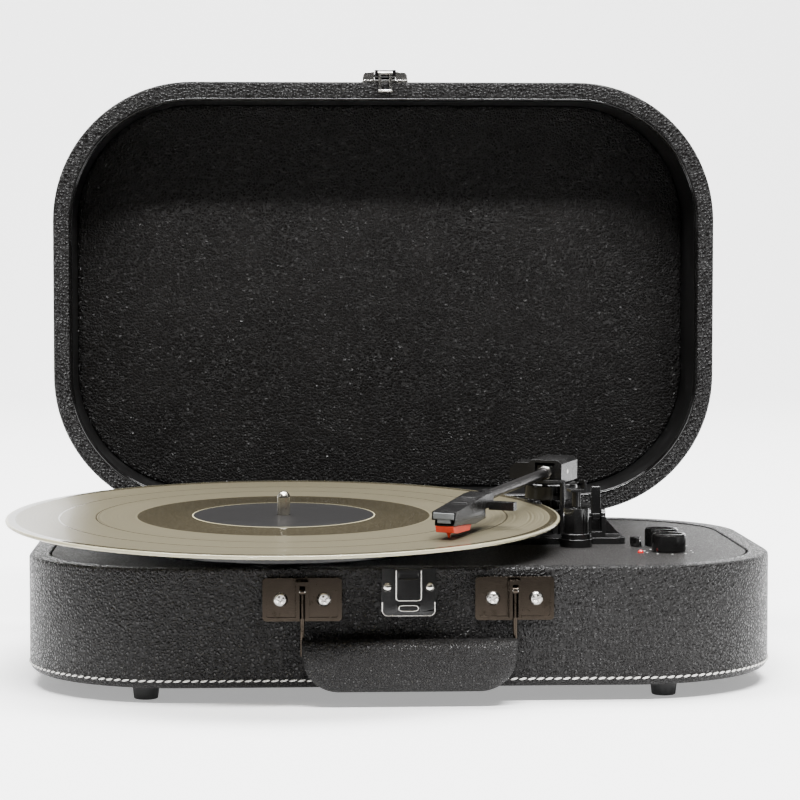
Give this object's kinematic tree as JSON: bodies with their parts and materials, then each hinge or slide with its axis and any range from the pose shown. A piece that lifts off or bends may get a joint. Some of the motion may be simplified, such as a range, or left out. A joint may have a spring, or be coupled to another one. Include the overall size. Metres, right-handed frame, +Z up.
{
  "type": "suitcase record player",
  "caption": "Portable suitcase turntable with an open padded lid, a record on the platter, a tonearm, control knobs and a front carrying handle.",
  "frame": {"origin": "middle of the open machine's footprint, on the surface that the feet stand on", "axes": "+X to the right seen from the front, +Y to the back, +Z up"},
  "size_m": [0.414, 0.3747, 0.3407],
  "materials": {
    "leather_black": "grained, semi-matt",
    "panel_black": "satin",
    "wood_board": "plain",
    "deck_leather": "fine grain",
    "rubber_black": "matt",
    "steel_bright": "polished",
    "nickel_dark": "aged nickel",
    "gloss_black": "gloss",
    "steel_plate": "zinc plated",
    "painted_steel": "gloss black paint",
    "brass_part": "turned",
    "vinyl_smoke": "translucent",
    "label_paper": "printed black",
    "felt_black": "felt",
    "red_plastic": "satin",
    "board_green": "lacquered",
    "cone_paper": "matt"
  },
  "bodies": {
    "case": {"base_shell": "leather_black", "bottom_panel": "panel_black", "corner_posts": "wood_board", "deck_panel": "deck_leather", "rubber_feet": "rubber_black", "foot_screws": "steel_bright", "hinge_base_leaves": "nickel_dark", "hinge_pins": "steel_bright", "hinge_base_screws": "steel_bright", "handle_brackets": "nickel_dark", "bracket_screws": "steel_bright", "bracket_pins": "steel_bright", "latch_plate": "nickel_dark", "latch_rivets": "steel_bright", "sub_chassis": "steel_plate", "isolation_mounts": "rubber_black", "platter_bearing": "brass_part", "motor": "steel_plate", "drive_belt": "rubber_black", "tonearm_base": "panel_black", "arm_bearing": "panel_black", "armrest": "panel_black", "cue_bracket": "panel_black", "power_indicator": "red_plastic", "potentiometers": "steel_plate", "circuit_board": "board_green", "board_parts": "board_green", "speaker_frames": "steel_plate", "speaker_cones": "cone_paper", "jack_panel": "panel_black", "sockets": "steel_plate"},
    "lid": {"lid_shell": "leather_black", "lid_liner": "leather_black", "lid_trim": "gloss_black", "hinge_lid_leaves": "nickel_dark", "hinge_lid_screws": "steel_bright", "lid_latch_base": "steel_bright"},
    "lever": {"latch_lever": "gloss_black"},
    "loop": {"latch_loop": "steel_bright"},
    "handle": {"handle_wires": "nickel_dark", "handle_grip": "leather_black"},
    "turntable": {"platter": "panel_black", "slip_mat": "felt_black", "spindle": "steel_bright", "record_disc": "vinyl_smoke", "record_label": "label_paper"},
    "rotor": {"motor_pulley": "brass_part"},
    "swing": {"swing_shaft": "steel_bright", "arm_housing": "panel_black", "lift_pin": "steel_bright"},
    "arm": {"arm_block": "panel_black", "arm_tube": "gloss_black", "headshell": "gloss_black", "cartridge": "gloss_black", "stylus_holder": "red_plastic"},
    "cue": {"cue_lever": "painted_steel"},
    "lift": {"lift_bar": "panel_black"},
    "volume": {"volume_knob": "gloss_black"},
    "source": {"source_knob": "gloss_black"},
    "mode": {"mode_switch": "gloss_black"}
  },
  "joints": [
    {"name": "lid_hinge", "type": "hinge", "parent": "case", "child": "lid", "pos_m": [0.007, 0.12704, 0.0703], "axis": [1, 0, 0], "range_deg": [-8, 71]},
    {"name": "latch_lever_tilt", "type": "hinge", "parent": "lid", "child": "lever", "pos_m": [0.007, 0.13234, 0.3372], "axis": [-1, 0, 0], "range_deg": [0, 17]},
    {"name": "latch_loop_swing", "type": "hinge", "parent": "lever", "child": "loop", "pos_m": [0.007, 0.12544, 0.3385], "axis": [-1, 0, 0], "range_deg": [0, 60]},
    {"name": "handle_swing", "type": "hinge", "parent": "case", "child": "handle", "pos_m": [0.007, -0.14076, 0.0587], "axis": [-1, 0, 0], "range_deg": [0, 95]},
    {"name": "platter_spin", "type": "hinge", "parent": "case", "child": "turntable", "pos_m": [-0.056, -0.03646, 0.086], "axis": [0, 0.0384, -0.9993], "continuous": true},
    {"name": "motor_spin", "type": "hinge", "parent": "case", "child": "rotor", "pos_m": [-0.11257, 0.02084, 0.06819], "axis": [0, 0.0384, -0.9993], "continuous": true},
    {"name": "arm_swing", "type": "hinge", "parent": "case", "child": "swing", "pos_m": [0.096, 0.01412, 0.09795], "axis": [0, -0.0384, 0.9993], "range_deg": [-27, 35]},
    {"name": "arm_lift", "type": "hinge", "parent": "swing", "child": "arm", "pos_m": [0.096, 0.01376, 0.10734], "axis": [-0.9063, 0.4223, 0.0162], "range_deg": [0, 8]},
    {"name": "cue_lever_tilt", "type": "hinge", "parent": "case", "child": "cue", "pos_m": [0.118, -0.01546, 0.0845], "axis": [1, 0, 0], "range_deg": [0, 50]},
    {"name": "cue_lift", "type": "slide", "parent": "case", "child": "lift", "axis": [0, -0.0384, 0.9993], "range_m": [0, 0.0019]},
    {"name": "volume_turn", "type": "hinge", "parent": "case", "child": "volume", "pos_m": [0.152, -0.06346, 0.0695], "axis": [0, 0, 1], "range_deg": [-140, 140]},
    {"name": "source_turn", "type": "hinge", "parent": "case", "child": "source", "pos_m": [0.152, -0.03546, 0.0695], "axis": [0, 0, 1], "range_deg": [-45, 45]},
    {"name": "mode_switch_turn", "type": "hinge", "parent": "case", "child": "mode", "pos_m": [0.138, -0.03546, 0.0695], "axis": [0, 0, 1], "range_deg": [-25, 25]}
  ],
  "couplings": [
    {"joint": "motor_spin", "follows": "platter_spin", "ratio": 12.4},
    {"joint": "arm_lift", "follows": "cue_lever_tilt", "ratio": 0.15},
    {"joint": "cue_lift", "follows": "cue_lever_tilt", "m_per_rad": 0.0021}
  ]
}
